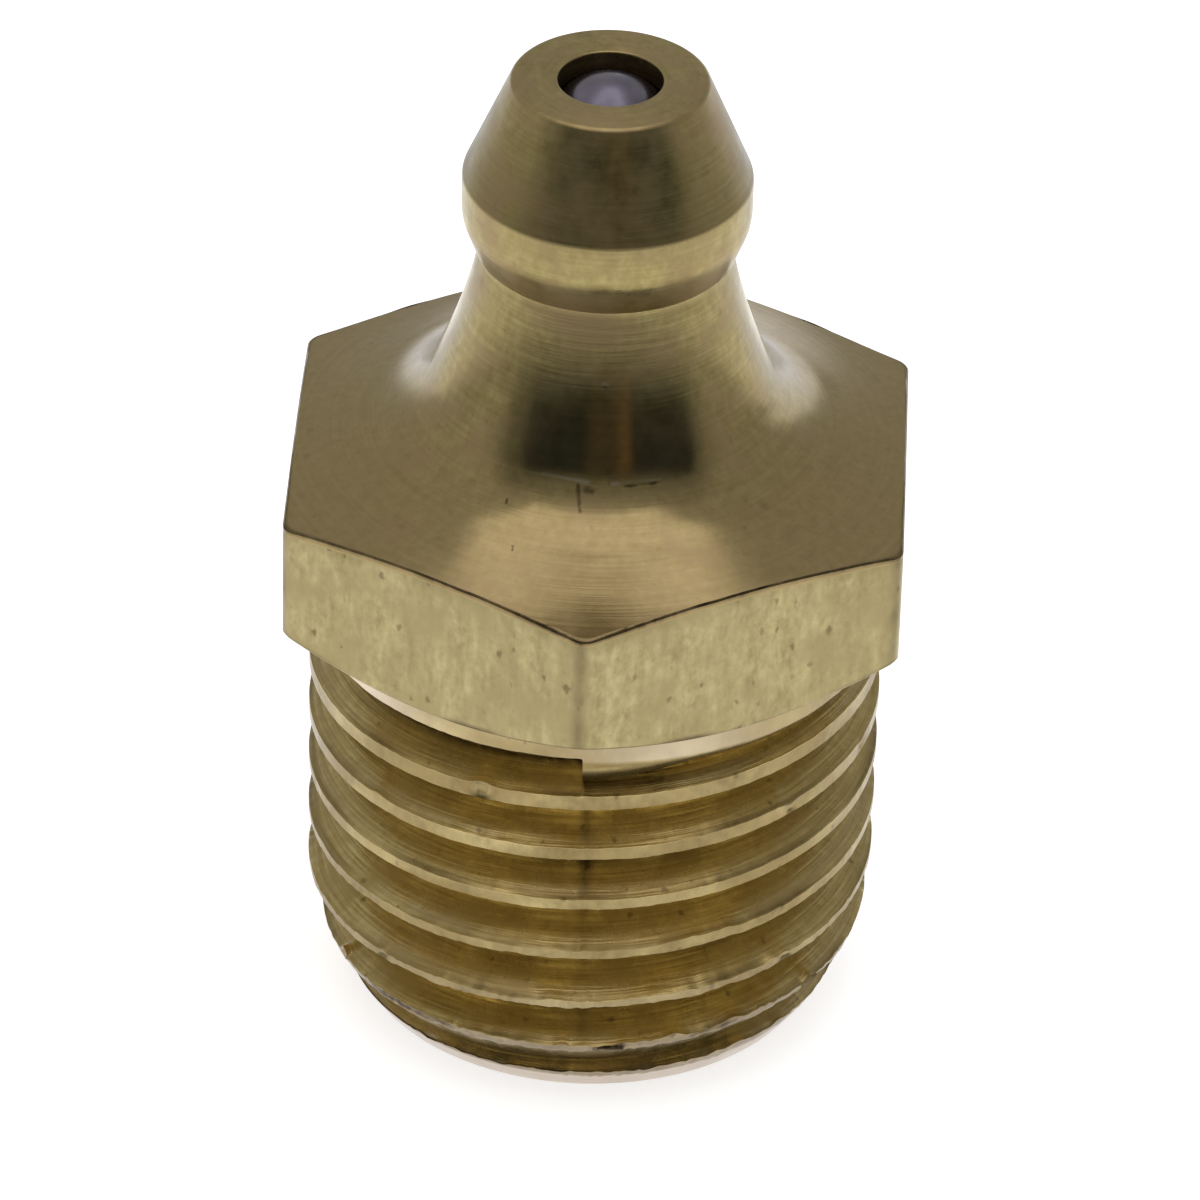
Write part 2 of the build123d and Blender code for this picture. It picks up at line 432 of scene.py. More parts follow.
def hexagon_rows():
    """Rows of (height, radius, dirt and painted shade, rubbing and painted highlights) columns, from the seat
    over the flats to the flare.
    """
    side = hex_radius(TURNS)
    corner = bell((((TURNS + 0.0016) * 6 + 0.5) % 1 - 0.5) / 6, 0, 0.0030)
    foot_z = SHANK_LENGTH + (side - HEX_SEAT_RADIUS) * CHAMFER_SLOPE
    top_z = shoulder_z(side)
    flat = np.zeros_like(TURNS)
    # at the seat a little painted shade and a little of the chamfer's painted highlight
    rows = [(flat + SHANK_LENGTH, flat + HEX_SEAT_RADIUS, flat + 0.2, flat + 0.2)]
    # the seat chamfer is painted pale, most at the front left: a painted highlight
    rubbed_and_highlight = 0.25 + 0.5 * bell(TURNS, -0.12, 0.05)
    # painted shadow along the flats' lower edge, strongest in two places in front and in patches further round
    painted_edge_shadow = bell(TURNS, -0.058, 0.016, power=4) + bell(TURNS, 0.053, 0.014, power=4)
    painted_edge_shadow = painted_edge_shadow + 0.6 * np.clip(wander(np.abs(TURNS), 23, 26), 0, 1) * (np.abs(TURNS) > 0.09)
    for part in (0.08, 0.5, 0.9):
        r = HEX_SEAT_RADIUS + (side - EDGE_BREAK - HEX_SEAT_RADIUS) * part
        rows.append((SHANK_LENGTH + (r - HEX_SEAT_RADIUS) * CHAMFER_SLOPE, r, flat + 0.03, rubbed_and_highlight))
    chamfer_in = np.minimum(EDGE_BREAK, (side - HEX_SEAT_RADIUS) / 2)
    rows.append((foot_z - chamfer_in * CHAMFER_SLOPE, side - chamfer_in, painted_edge_shadow * 0.6, flat))
    low, high = foot_z + EDGE_BREAK, top_z - EDGE_BREAK
    # the top edges carry a brown line, heavier at the corners, widened with painted shade that hides the edge
    # break's highlight
    top_line = np.clip(0.5 + 0.6 * wander(np.abs(TURNS), 27, 60), 0, 1)
    dented = 0.012 * wander(np.abs(TURNS), 21, 60) + 0.012 * wander(np.abs(TURNS), 22, 23)
    for part in (0, 0.03, 0.15, 0.3, 0.45, 0.6, 0.75, 0.88, 0.965, 1):
        line = corner * np.clip(0.24 + 0.2 * wander(flat + part, 24, 9), 0, 0.6)
        shade = {0: painted_edge_shadow * 0.5, 0.965: 0.05 + top_line * 0.1, 1: 0.4 + top_line * 0.3}.get(part, 0.0)
        z = low + (high - low) * part + dented * (part == 1)
        rows.append((z, side, np.clip(line + shade, 0, 1), flat))
    for part in (0, 0.04, 0.1, 0.25, 0.5, 0.75, 1):
        r = side - EDGE_BREAK + (RING_RADIUS - side + EDGE_BREAK) * part
        shade = {0: 0.45 + top_line * 0.3, 0.04: 0.32 + top_line * 0.3, 0.1: top_line * 0.12}.get(part, 0.0)
        rows.append((shoulder_z(r) + dented * (part == 0), r, flat + shade, flat))
    return rows


def ring_outline():
    """(radius, height) along the flare, the head, the passage and back to the end face."""
    outline = []
    # Easing into the shoulder lifts the flare's foot a little
    for r in np.linspace(RING_RADIUS, EASE_START_RADIUS, 10)[1:]:
        outline.append((r, shoulder_z(r)))
    lift = outline[-1][1] - (MIDDLE_Z - SHORT_ARC * (sin(EASE_SLOPE) - sin(MIDDLE_SLOPE)))
    for slope in np.linspace(EASE_SLOPE, MIDDLE_SLOPE, 17)[1:]:
        left = (slope - MIDDLE_SLOPE) / (EASE_SLOPE - MIDDLE_SLOPE)
        outline.append((MIDDLE_RADIUS + SHORT_ARC * (cos(MIDDLE_SLOPE) - cos(slope)),
                        MIDDLE_Z - SHORT_ARC * (sin(slope) - sin(MIDDLE_SLOPE)) + lift * left))
    for slope in np.linspace(MIDDLE_SLOPE, TOP_SLOPE, 11)[1:-1]:
        outline.append((NECK_RADIUS + LONG_ARC * (cos(TOP_SLOPE) - cos(slope)),
                        NECK_Z - LONG_ARC * (sin(slope) - sin(TOP_SLOPE))))
    outline += rounded([
        (NECK_RADIUS + 0.035, NECK_Z - 0.2, 0),
        (NECK_RADIUS, NECK_Z, 0.08),
        (HEAD_FOOT_RADIUS, NECK_Z, 0.02),
        (HEAD_RADIUS, BAND_Z, 1.3),
        (HEAD_RADIUS, CONE_Z, 0.3),
        (TIP_RADIUS, TIP_Z - 0.01, 0.14),
        (MOUTH_RADIUS + 0.5, TIP_Z, 0),
        (MOUTH_RADIUS, TIP_Z - 0.005, 0.05),
        (MOUTH_RADIUS, SEAT_Z, 0),
        (CHAMBER_RADIUS, SEAT_FOOT_Z, 0),
        (CHAMBER_RADIUS, CHAMBER_Z, 0.1),
        (LIP_RADIUS, CHAMBER_Z, 0.1),
        (LIP_RADIUS, LIP_Z, 0.05),
        (INLET_RADIUS, INLET_DEPTH, 0),
        (INLET_RADIUS, 0.2, 0),
        (INLET_RADIUS + 0.2, 0, 0),
    ])
    return outline


def placed(name, data):
    """A new object in the scene."""
    made = bpy.data.objects.new(name, data)
    bpy.context.scene.collection.objects.link(made)
    return made


def grid_mesh(name, rows, kinds):
    """A closed mesh through rows of (height, radius, dirt and painted shade, rubbing and painted highlights)
    columns.

    Each face has the kind of its row, and each point its dirt and painted shade, and its paleness from rubbing
    and painted highlights.
    """
    angle = -pi / 2 + 2 * pi * TURNS
    points = [np.stack([row[1] * np.cos(angle), row[1] * np.sin(angle), row[0]], axis=1) for row in rows]
    columns = len(TURNS)
    mesh = bpy.data.meshes.new(name)
    faces, marks = [], []
    for i in range(len(rows)):
        after = (i + 1) % len(rows)
        for j in range(columns - 1):
            faces.append((i * columns + j, i * columns + j + 1,
                          after * columns + j + 1, after * columns + j))
            marks.append(kinds[i])
    mesh.from_pydata(np.concatenate(points) * MM, [], faces)
    mesh.polygons.foreach_set("material_index", marks)
    for column, layer in ((2, "dirt_and_shade"), (3, "rubbed_and_highlight")):
        store = mesh.attributes.new(layer, "FLOAT", "POINT")
        store.data.foreach_set("value", np.concatenate([row[column] for row in rows]))
    shape = bmesh.new()
    shape.from_mesh(mesh)
    bmesh.ops.remove_doubles(shape, verts=shape.verts, dist=1e-5 * MM)
    bmesh.ops.recalc_face_normals(shape, faces=shape.faces)
    for face in shape.faces:
        face.smooth = True
    shape.to_mesh(mesh)
    shape.free()
    return mesh


THREAD, HEXAGON, TURNED, PASSAGE = range(4)

thread = thread_rows()
hexagon = hexagon_rows()
turned_outline = ring_outline()
passage_start = next(i for i, (r, z) in enumerate(turned_outline)
                     if abs(r - MOUTH_RADIUS) < 1e-6 and z < TIP_Z - 0.01)
turned = []
for i, (r, z) in enumerate(turned_outline):
    full = np.ones_like(TURNS)
    # the mouth and the passage get painted shade; a thin dark line runs round the foot of the cone
    dirt_and_shade = 0.62 if i > passage_start - 3 else 0.28 * bell(z - CONE_Z, 0.05, 0.05)
    # the taper under the band is painted a little paler: painted light
    painted_light_on_taper = between(z, NECK_Z + 0.02, BAND_Z - 0.15, 0.2) if i < passage_start else 0.0
    # the end face is painted pale as well, like the end ring's painted reflection
    at_end_face = i == len(turned_outline) - 1
    turned.append((z * full, r * full, (0.05 if at_end_face else dirt_and_shade) * full,
                   (0.7 if at_end_face else 0.1 * painted_light_on_taper) * full))
rows = thread + hexagon + turned
kinds = [THREAD] * (len(thread) - 1) + [HEXAGON] * FLAT_STRIPS
kinds += [TURNED] * (len(hexagon) - FLAT_STRIPS + passage_start)
kinds += [PASSAGE] * (len(rows) - len(kinds) - END_FACE_STRIPS) + [TURNED] * END_FACE_STRIPS
body_mesh = grid_mesh("turned_body", rows, kinds)
body_mesh.set_sharp_from_angle(angle=radians(26))
body = placed("turned_body", body_mesh)
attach(body, "body")
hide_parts("nipple_body")

# ---------------------------------------------------------------- ball and spring


def ball_mesh():
    """The check ball as a fine quad sphere."""
    shape = bmesh.new()
    bmesh.ops.create_cube(shape, size=2)
    bmesh.ops.subdivide_edges(shape, edges=shape.edges, cuts=23, use_grid_fill=True)
    for vertex in shape.verts:
        vertex.co = vertex.co.normalized() * BALL_RADIUS * MM + Vector((0, 0, BALL_Z * MM))
    for face in shape.faces:
        face.smooth = True
    mesh = bpy.data.meshes.new("steel_ball")
    shape.to_mesh(mesh)
    shape.free()
    return mesh


def spring_mesh():
    """Round wire wound into the valve spring, with its end coils closed."""
    steps, sides = int(SPRING_TURNS * 40), 12
    low, high = SPRING_FOOT_Z + WIRE_RADIUS, SPRING_TOP_Z - WIRE_RADIUS
    closed = 1.1  # turns at each end whose coils nearly touch
    turns = np.linspace(0, SPRING_TURNS, steps + 1)
    rise = np.clip(turns - closed, 0, SPRING_TURNS - 2 * closed) / (SPRING_TURNS - 2 * closed)
    ends = np.minimum(turns, closed) - np.minimum(SPRING_TURNS - turns, closed) + closed
    open_height = high - low - 2 * closed * 2.1 * WIRE_RADIUS
    z = low + open_height * rise + ends * 2.1 * WIRE_RADIUS
    angle = 2 * pi * turns
    centre = np.stack([SPRING_RADIUS * np.cos(angle), SPRING_RADIUS * np.sin(angle), z], axis=1)
    out = np.stack([np.cos(angle), np.sin(angle), np.zeros_like(angle)], axis=1)
    points = []
    for i in range(steps + 1):
        for k in range(sides):
            a = 2 * pi * k / sides
            points.append(centre[i] + WIRE_RADIUS * (cos(a) * out[i] + sin(a) * np.array([0, 0, 1.0])))
    faces = [
        (i * sides + k, (i + 1) * sides + k, (i + 1) * sides + (k + 1) % sides, i * sides + (k + 1) % sides)
        for i in range(steps)
        for k in range(sides)
    ]
    faces.append(tuple(range(sides)))
    faces.append(tuple(steps * sides + k for k in reversed(range(sides))))
    mesh = bpy.data.meshes.new("spring_wire")
    mesh.from_pydata(np.array(points) * MM, [], faces)
    shape = bmesh.new()
    shape.from_mesh(mesh)
    bmesh.ops.recalc_face_normals(shape, faces=shape.faces)
    for face in shape.faces:
        face.smooth = len(face.verts) == 4
    shape.to_mesh(mesh)
    shape.free()
    return mesh


ball = placed("steel_ball", ball_mesh())
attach(ball, "ball")
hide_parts("check_ball")

spring = placed("spring_wire", spring_mesh())
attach(spring, "body")
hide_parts("valve_spring")
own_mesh(spring)

# ---------------------------------------------------------------- materials


def colour(code):
    """The linear colour of an sRGB hex value."""
    parts = [int(code[i:i + 2], 16) / 255 for i in (0, 2, 4)]
    return [p / 12.92 if p <= 0.04045 else ((p + 0.055) / 1.055) ** 2.4 for p in parts] + [1]


def add(tree, kind, inputs=None, **settings):
    """A new node with its settings; each input is a value or the socket it comes from."""
    made = tree.nodes.new(kind)
    for name, value in settings.items():
        setattr(made, name, value)
    for name, value in (inputs or {}).items():
        if isinstance(value, bpy.types.NodeSocket):
            tree.links.new(value, made.inputs[name])
        else:
            made.inputs[name].default_value = value
    return made


def new_material(name):
    """A material with an empty node tree."""
    material = bpy.data.materials.new(name)
    material.use_nodes = True
    material.node_tree.nodes.clear()
    return material, material.node_tree


def scratches(tree, place, uneven, lines, strength, under):
    """How strongly the nearest of the lines shows: each has two ends and half its width in mm."""
    for start, end, width in lines:
        along = Vector(end) - Vector(start)
        off = add(tree, "ShaderNodeVectorMath", {0: place, 1: start}, operation="SUBTRACT")
        part = add(tree, "ShaderNodeVectorMath", {0: off.outputs[0], 1: along / along.length_squared},
                   operation="DOT_PRODUCT")
        part = add(tree, "ShaderNodeClamp", {"Value": part.outputs["Value"]})
        near = add(tree, "ShaderNodeVectorMath", {0: along, "Scale": part.outputs[0]}, operation="SCALE")
        away = add(tree, "ShaderNodeVectorMath", {0: off.outputs[0], 1: near.outputs[0]},
                   operation="DISTANCE")
        away = add(tree, "ShaderNodeMath", {0: uneven, 1: 0.14, 2: away.outputs["Value"]},
                   operation="MULTIPLY_ADD")
        shown = add(tree, "ShaderNodeMapRange", {"Value": away.outputs[0], "From Min": 0.07 + width * 1.3,
                                                 "From Max": 0.07, "To Max": strength})
        under = add(tree, "ShaderNodeMath", {0: under, 1: shown.outputs[0]}, operation="MAXIMUM").outputs[0]
    return under


def brass(name, light, dark, patina, lay, lay_contrast, lay_depth, grain, mottle_scale, pits, roughness,
          film=None, burnished_below=None, cracks=(), scuffs=()):
    """Cut brass: a warm yellow metal, olive and brown where it has tarnished in the air.

    lay gives how many marks of the tool show in a millimetre, across the radius, along the
    axis and round the turn. grain and pits give the strength of the mottling and of the dark
    specks. roughness is that of the clean and of the tarnished metal. Below the top of film
    the patina closes into a brown film, and below burnished_below the form tool left it smooth.
    """
    material, tree = new_material(name)
    metres = add(tree, "ShaderNodeTexCoord").outputs["Object"]
    place = add(tree, "ShaderNodeVectorMath", {0: metres, "Scale": MM_PER_METRE}, operation="SCALE").outputs[0]
    axes = add(tree, "ShaderNodeSeparateXYZ", {0: place})
    if lay[0] is None:
        # drawn bar: the marks run along the axis
        marks_place = add(tree, "ShaderNodeVectorMath", {0: place, 1: (lay[2], lay[2], lay[1])},
                          operation="MULTIPLY")
    else:
        flat = add(tree, "ShaderNodeCombineXYZ", {0: axes.outputs[0], 1: axes.outputs[1]})
        unit = add(tree, "ShaderNodeVectorMath", {0: flat.outputs[0]}, operation="NORMALIZE")
        turn = add(tree, "ShaderNodeVectorMath", {0: unit.outputs[0], "Scale": lay[2]}, operation="SCALE")
        out = add(tree, "ShaderNodeVectorMath", {0: flat.outputs[0]}, operation="LENGTH")
        down = add(tree, "ShaderNodeMath", {0: axes.outputs[2], 1: -lay[1]}, operation="MULTIPLY")
        across = add(tree, "ShaderNodeMath", {0: out.outputs["Value"], 1: lay[0], 2: down.outputs[0]},
                     operation="MULTIPLY_ADD")
        lift = add(tree, "ShaderNodeCombineXYZ", {2: across.outputs[0]})
        marks_place = add(tree, "ShaderNodeVectorMath", {0: turn.outputs[0], 1: lift.outputs[0]},
                          operation="ADD")
    marks = add(tree, "ShaderNodeTexNoise", {"Vector": marks_place.outputs[0], "Scale": 1.0, "Detail": 2.0,
                                             "Roughness": 0.65})
    # mottling a little longer along the axis, and tarnish in patches of about a millimetre
    drawn = add(tree, "ShaderNodeVectorMath", {0: place, 1: (1.0, 1.0, 0.7)}, operation="MULTIPLY")
    mottle = add(tree, "ShaderNodeTexNoise", {"Vector": drawn.outputs[0], "Scale": mottle_scale,
                                              "Detail": 3.0, "Roughness": 0.65})
    patches = add(tree, "ShaderNodeTexNoise", {"Vector": place, "Scale": 0.8, "Detail": 3.0,
                                               "Roughness": 0.6})
    tone = add(tree, "ShaderNodeMix", {"Factor": grain, "A": marks.outputs["Fac"],
                                       "B": mottle.outputs["Fac"]}, data_type="FLOAT")
    spread = 0.16 / lay_contrast
    tone = add(tree, "ShaderNodeMapRange", {"Value": tone.outputs["Result"], "From Min": 0.5 - spread,
                                            "From Max": 0.5 + spread})
    base = add(tree, "ShaderNodeMix", {"Factor": tone.outputs[0], "A": colour(dark), "B": colour(light)},
               data_type="RGBA")
    aged = add(tree, "ShaderNodeMapRange", {"Value": patches.outputs["Fac"], "From Min": 0.42,
                                            "From Max": 0.66, "To Max": 0.8})
    if film:
        lower = add(tree, "ShaderNodeMapRange", {"Value": axes.outputs[2], "From Min": film[0],
                                                 "From Max": film[1], "To Min": 0.55, "To Max": 0.0})
        aged = add(tree, "ShaderNodeMath", {0: aged.outputs[0], 1: lower.outputs[0]}, operation="MAXIMUM")
    base = add(tree, "ShaderNodeMix", {"Factor": aged.outputs[0], "A": base.outputs["Result"],
                                       "B": colour(patina)}, data_type="RGBA")
    # specks of 0.1 to 0.2 mm, one to a cell of 0.4 mm where the cell has one
    cells = add(tree, "ShaderNodeTexVoronoi", {"Vector": drawn.outputs[0], "Scale": 2.6})
    some = add(tree, "ShaderNodeSeparateColor", {0: cells.outputs["Color"]})
    size = add(tree, "ShaderNodeMapRange", {"Value": some.outputs[0], "From Min": 0.35, "From Max": 1.0,
                                            "To Min": 0.0, "To Max": 0.26})
    ragged = add(tree, "ShaderNodeMath", {0: mottle.outputs["Fac"], 1: 0.6, 2: cells.outputs["Distance"]},
                 operation="MULTIPLY_ADD")
    speck = add(tree, "ShaderNodeMath", {0: size.outputs[0], 1: ragged.outputs[0]}, operation="SUBTRACT")
    speck = add(tree, "ShaderNodeMapRange", {"Value": speck.outputs[0], "From Min": -0.3, "From Max": -0.16,
                                             "To Max": pits})
    base = add(tree, "ShaderNodeMix", {"Factor": speck.outputs[0], "A": base.outputs["Result"],
                                       "B": colour(SPECK_BROWN)}, data_type="RGBA")
    # paler where the metal is freshly rubbed and where highlights are painted, brown where dirt has settled
    # and where shade is painted
    rubbed_and_highlight = add(tree, "ShaderNodeAttribute", attribute_name="rubbed_and_highlight").outputs["Fac"]
    rubbed_and_highlight = scratches(tree, place, mottle.outputs["Fac"], scuffs, 0.4, rubbed_and_highlight)
    base = add(tree, "ShaderNodeMix", {"Factor": rubbed_and_highlight, "A": base.outputs["Result"],
                                       "B": colour(PALE_RUB_AND_HIGHLIGHT)}, data_type="RGBA")
    dirt_and_shade = add(tree, "ShaderNodeAttribute", attribute_name="dirt_and_shade")
    uneven = add(tree, "ShaderNodeMapRange", {"Value": mottle.outputs["Fac"], "From Min": 0.35,
                                              "From Max": 0.6, "To Min": 0.7, "To Max": 1.2})
    dirt_and_shade = add(tree, "ShaderNodeMath", {0: dirt_and_shade.outputs["Fac"], 1: uneven.outputs[0]}, operation="MULTIPLY",
               use_clamp=True).outputs[0]
    dirt_and_shade = scratches(tree, place, mottle.outputs["Fac"], cracks, 0.75, dirt_and_shade)
    base = add(tree, "ShaderNodeMix", {"Factor": dirt_and_shade, "A": base.outputs["Result"],
                                       "B": colour(GREASE_AND_SHADE_BROWN)}, data_type="RGBA")
    # the tool's marks are cut into the surface
    bump = add(tree, "ShaderNodeBump", {"Height": marks.outputs["Fac"], "Strength": 1.0,
                                        "Distance": lay_depth * MM})
    gloss = add(tree, "ShaderNodeMapRange", {"Value": patches.outputs["Fac"], "From Min": 0.35,
                                             "From Max": 0.65, "To Min": roughness[0],
                                             "To Max": roughness[1]})
    gloss = add(tree, "ShaderNodeMath", {0: dirt_and_shade, 1: DIRT_AND_SHADE_ROUGHNESS, 2: gloss.outputs[0]},
                operation="MULTIPLY_ADD")
    if burnished_below:
        worked = add(tree, "ShaderNodeMapRange", {"Value": axes.outputs[2], "From Min": burnished_below,
                                                  "From Max": burnished_below + 1.5, "To Min": 0.35,
                                                  "To Max": 1.0})
        sheen = add(tree, "ShaderNodeMapRange", {"Value": worked.outputs[0], "To Min": 0.25, "To Max": 1.0})
        gloss = add(tree, "ShaderNodeMath", {0: gloss.outputs[0], 1: sheen.outputs[0]},
                    operation="MULTIPLY")
        tree.links.new(worked.outputs[0], bump.inputs["Strength"])
    round_axis = add(tree, "ShaderNodeTangent", direction_type="RADIAL", axis="Z")
    surface = add(tree, "ShaderNodeBsdfPrincipled", {
        "Base Color": base.outputs["Result"], "Metallic": 1.0, "Roughness": gloss.outputs[0],
        "Normal": bump.outputs[0], "Anisotropic": 0.5, "Anisotropic Rotation": 0.25,
        "Tangent": round_axis.outputs[0],
    })
    add(tree, "ShaderNodeOutputMaterial", {"Surface": surface.outputs[0]})
    return material


def on_flare(turn, z):
    """The point of the flare at a turn from the front and a height."""
    heights, radii = zip(*[(height, r) for r, height in turned_outline
                           if CORNER_Z < height < NECK_Z - 0.3 and r > NECK_RADIUS])
    r = np.interp(z, heights, radii)
    return r * sin(2 * pi * turn), -r * cos(2 * pi * turn), z


def flare_lines(*lines):
    """Lines for scratches, from pairs of points on the flare."""
    return [(on_flare(*start), on_flare(*end), width) for start, end, width in lines]


# Thread flanks keep the chaser's fine streaks, which follow the groove
body_mesh.materials.append(brass("chased_thread_brass", "D2BE84", "A08A54", "AE9862", lay=(16, 0.7, 2.5),
                                 lay_contrast=1.15, lay_depth=0.008, grain=0.3, mottle_scale=5, pits=0.5,
                                 roughness=(0.18, 0.3)))
# The flats are the drawn bar as it came: a dull, mottled skin with faint lengthwise lines
body_mesh.materials.append(brass("drawn_bar_brass", "BFB082", "8B7E54", "AA9B6E", lay=(None, 0.7, 2.6),
                                 lay_contrast=0.85, lay_depth=0.008, grain=0.5, mottle_scale=5, pits=0.5,
                                 roughness=(0.30, 0.42)))
# Small cracks and scuffs in the flare, left by rough handling
flare_cracks = flare_lines(
    ((-0.0137, 15.684), (-0.0101, 15.266), 0.05), ((-0.0052, 15.62), (-0.0010, 15.60), 0.09),
    ((0.0260, 15.69), (0.0578, 15.70), 0.035), ((0.0070, 17.74), (0.0090, 17.73), 0.05),
    ((-0.0505, 14.73), (-0.0498, 14.70), 0.035), ((-0.0690, 15.25), (-0.0682, 15.20), 0.03),
)
flare_scuffs = flare_lines(
    ((-0.0459, 15.827), (-0.0250, 15.80), 0.04), ((-0.0250, 15.80), (-0.0053, 15.755), 0.055),
    ((0.0155, 15.74), (0.0578, 15.75), 0.03), ((0.0060, 17.80), (0.0110, 17.78), 0.04),
)
# Turned faces have rings from the tool's feed, and a brown film from handling low down
body_mesh.materials.append(brass("turned_brass", "BAAA76", "8C7C4C", "A58F68", lay=(7, 9, 1.2),
                                 lay_contrast=0.65, lay_depth=0.0045, grain=0.6, mottle_scale=4, pits=0.12,
                                 roughness=(0.26, 0.40), film=(14.4, 17.0), burnished_below=17.6,
                                 cracks=flare_cracks, scuffs=flare_scuffs))
# The passage is drilled; its darker colours are painted shade inside the hole
body_mesh.materials.append(brass("drilled_brass", "9C8C60", "6E5F3C", "7A6744", lay=(6, 8, 1.0),
                                 lay_contrast=1.0, lay_depth=0.008, grain=0.4, mottle_scale=5, pits=0.5,
                                 roughness=(0.3, 0.45)))


def steel(name, light, roughness, scratch_scale):
    """Hardened steel: grey, with a satin left by grinding or by drawing through a die."""
    material, tree = new_material(name)
    place = add(tree, "ShaderNodeTexCoord").outputs["Object"]
    # scratches about 0.08 mm apart, drawn coarser than the real ones so that they show
    fine = add(tree, "ShaderNodeTexNoise", {"Vector": place, "Scale": scratch_scale * MM_PER_METRE,
                                             "Detail": 4.0})
    cloud = add(tree, "ShaderNodeTexNoise", {"Vector": place, "Scale": 1600.0, "Detail": 3.0})
    bump = add(tree, "ShaderNodeBump", {"Height": fine.outputs["Fac"], "Strength": 0.6,
                                        "Distance": 0.002 * MM})
    base = add(tree, "ShaderNodeMix", {"Factor": cloud.outputs["Fac"], "A": colour(light),
                                       "B": colour(STEEL_CLOUD)}, data_type="RGBA")
    gloss = add(tree, "ShaderNodeMapRange", {"Value": cloud.outputs["Fac"], "From Min": 0.3,
                                             "From Max": 0.7, "To Min": roughness - 0.06,
                                             "To Max": roughness + 0.06})
    surface = add(tree, "ShaderNodeBsdfPrincipled", {
        "Base Color": base.outputs["Result"], "Metallic": 1.0, "Roughness": gloss.outputs[0],
        "Normal": bump.outputs[0],
    })
    add(tree, "ShaderNodeOutputMaterial", {"Surface": surface.outputs[0]})
    return material


ball.data.materials.append(steel("ground_ball_steel", "96909F", 0.30, 12))
spring.data.materials.append(steel("drawn_spring_steel", "A2A0A0", 0.34, 8))

# ---------------------------------------------------------------- stage, light and camera


def seen_directly(tree):
    """1 for camera, glossy and transmission rays."""
    path = add(tree, "ShaderNodeLightPath")
    first = add(tree, "ShaderNodeMath", {0: path.outputs["Is Camera Ray"],
                                         1: path.outputs["Is Glossy Ray"]}, operation="MAXIMUM")
    both = add(tree, "ShaderNodeMath", {0: first.outputs[0], 1: path.outputs["Is Transmission Ray"]},
               operation="MAXIMUM")
    return both.outputs[0]


def staged(name, points, faces):
    """A mesh of the stage, in metres."""
    mesh = bpy.data.meshes.new(name)
    mesh.from_pydata(points, [], faces)
    made = placed(name, mesh)
    return made


floor = staged("floor", [(-3, -3, 0), (3, -3, 0), (3, 3, 0), (-3, 3, 0)], [(0, 1, 2, 3)])
floor_material, tree = new_material("white_card")
diffuse = add(tree, "ShaderNodeBsdfDiffuse", {"Color": colour("E6E6E8")})
glow = add(tree, "ShaderNodeEmission", {"Color": (1, 1, 1, 1), "Strength": 0.56})
nothing = add(tree, "ShaderNodeEmission", {"Strength": 0.0})
lift = add(tree, "ShaderNodeMixShader", {0: seen_directly(tree), 1: nothing.outputs[0], 2: glow.outputs[0]})
both = add(tree, "ShaderNodeAddShader", {0: diffuse.outputs[0], 1: lift.outputs[0]})
add(tree, "ShaderNodeOutputMaterial", {"Surface": both.outputs[0]})
floor.data.materials.append(floor_material)


def toward(levels, share, target):
    """Colours moved towards a target colour by a share of 0 to 1."""
    return levels + (np.array(target) - levels) * share[..., None]


BACKDROP_GLOW = [0.98, 1.02, 1.16]


def room_glow(azimuth, elevation):
    """What stands round the table: a dim room, dark in front, a white backdrop and a softbox.

    Azimuths are in degrees from the camera's side, positive to its right.
    """
    a, e = azimuth, elevation
    levels = np.zeros(a.shape + (3,)) + [0.44, 0.435, 0.42]
    levels = levels * (1 - 0.09 * np.sin(np.radians(a)))[..., None]
    levels = toward(levels, between(a, -66, 74, 26) * (1 - edge(e, 40, 66)), [0.25, 0.25, 0.235])
    levels = toward(levels, between(a, -60, 66, 18) * (1 - edge(e, 22, 50)), [0.15, 0.15, 0.135])
    levels = toward(levels, between(a, -48, 63, 7) * between(e, 3, 33, 9), [0.032, 0.036, 0.042])
    levels = toward(levels, between(a, -7, 22, 6) * between(e, 0, 36, 8) * 0.8, [0.085, 0.068, 0.05])
    levels = toward(levels, between(a, 14, 21, 4) * between(e, 4, 30, 6) * 0.7, [0.2, 0.13, 0.07])
    top = 4 + 9 * edge(a, -90, 90)
    levels = toward(levels, edge(np.abs(a), 112, 136) * (1 - edge(e, top - 9, top)), BACKDROP_GLOW)
    # The softbox is a ceiling rectangle whose far end is narrower
    up = np.maximum(np.sin(np.radians(e)), 0.01)
    across = np.cos(np.radians(e)) * np.sin(np.radians(a)) / up
    back = -np.cos(np.radians(e)) * np.cos(np.radians(a)) / up
    narrowing = 0.24 * edge(back, 0.1, 0.7)
    box = between(across, -0.45 + narrowing, 0.41 - narrowing, 0.08) * between(back, -0.43, 0.74, 0.12)
    return toward(levels, box, [1.17, 1.13, 1.17])


def table_glow(azimuth, reach):
    """The white table fades into a dim floor, sooner in front of the nipple than beside it."""
    front = 0.5 + 0.5 * np.cos(np.radians(azimuth))
    start = 0.125 - 0.08 * front
    levels = np.zeros(azimuth.shape + (3,)) + [1.0, 1.0, 1.03]
    dim = 0.44 - 0.02 * front
    near_floor = np.stack([dim, dim, dim * 0.97], axis=-1)
    levels = levels + (near_floor - levels) * edge(reach, start, start + 0.045)[..., None]
    front_only = between(azimuth, -64, 72, 26) * edge(reach, 0.13, 0.5)
    levels = toward(levels, front_only, [0.22, 0.22, 0.21])
    behind = edge(np.abs(azimuth), 118, 140) * (1 - 0.7 * edge(-azimuth, 0, 60) * edge(reach, 0.12, 0.3))
    return toward(levels, behind, BACKDROP_GLOW)


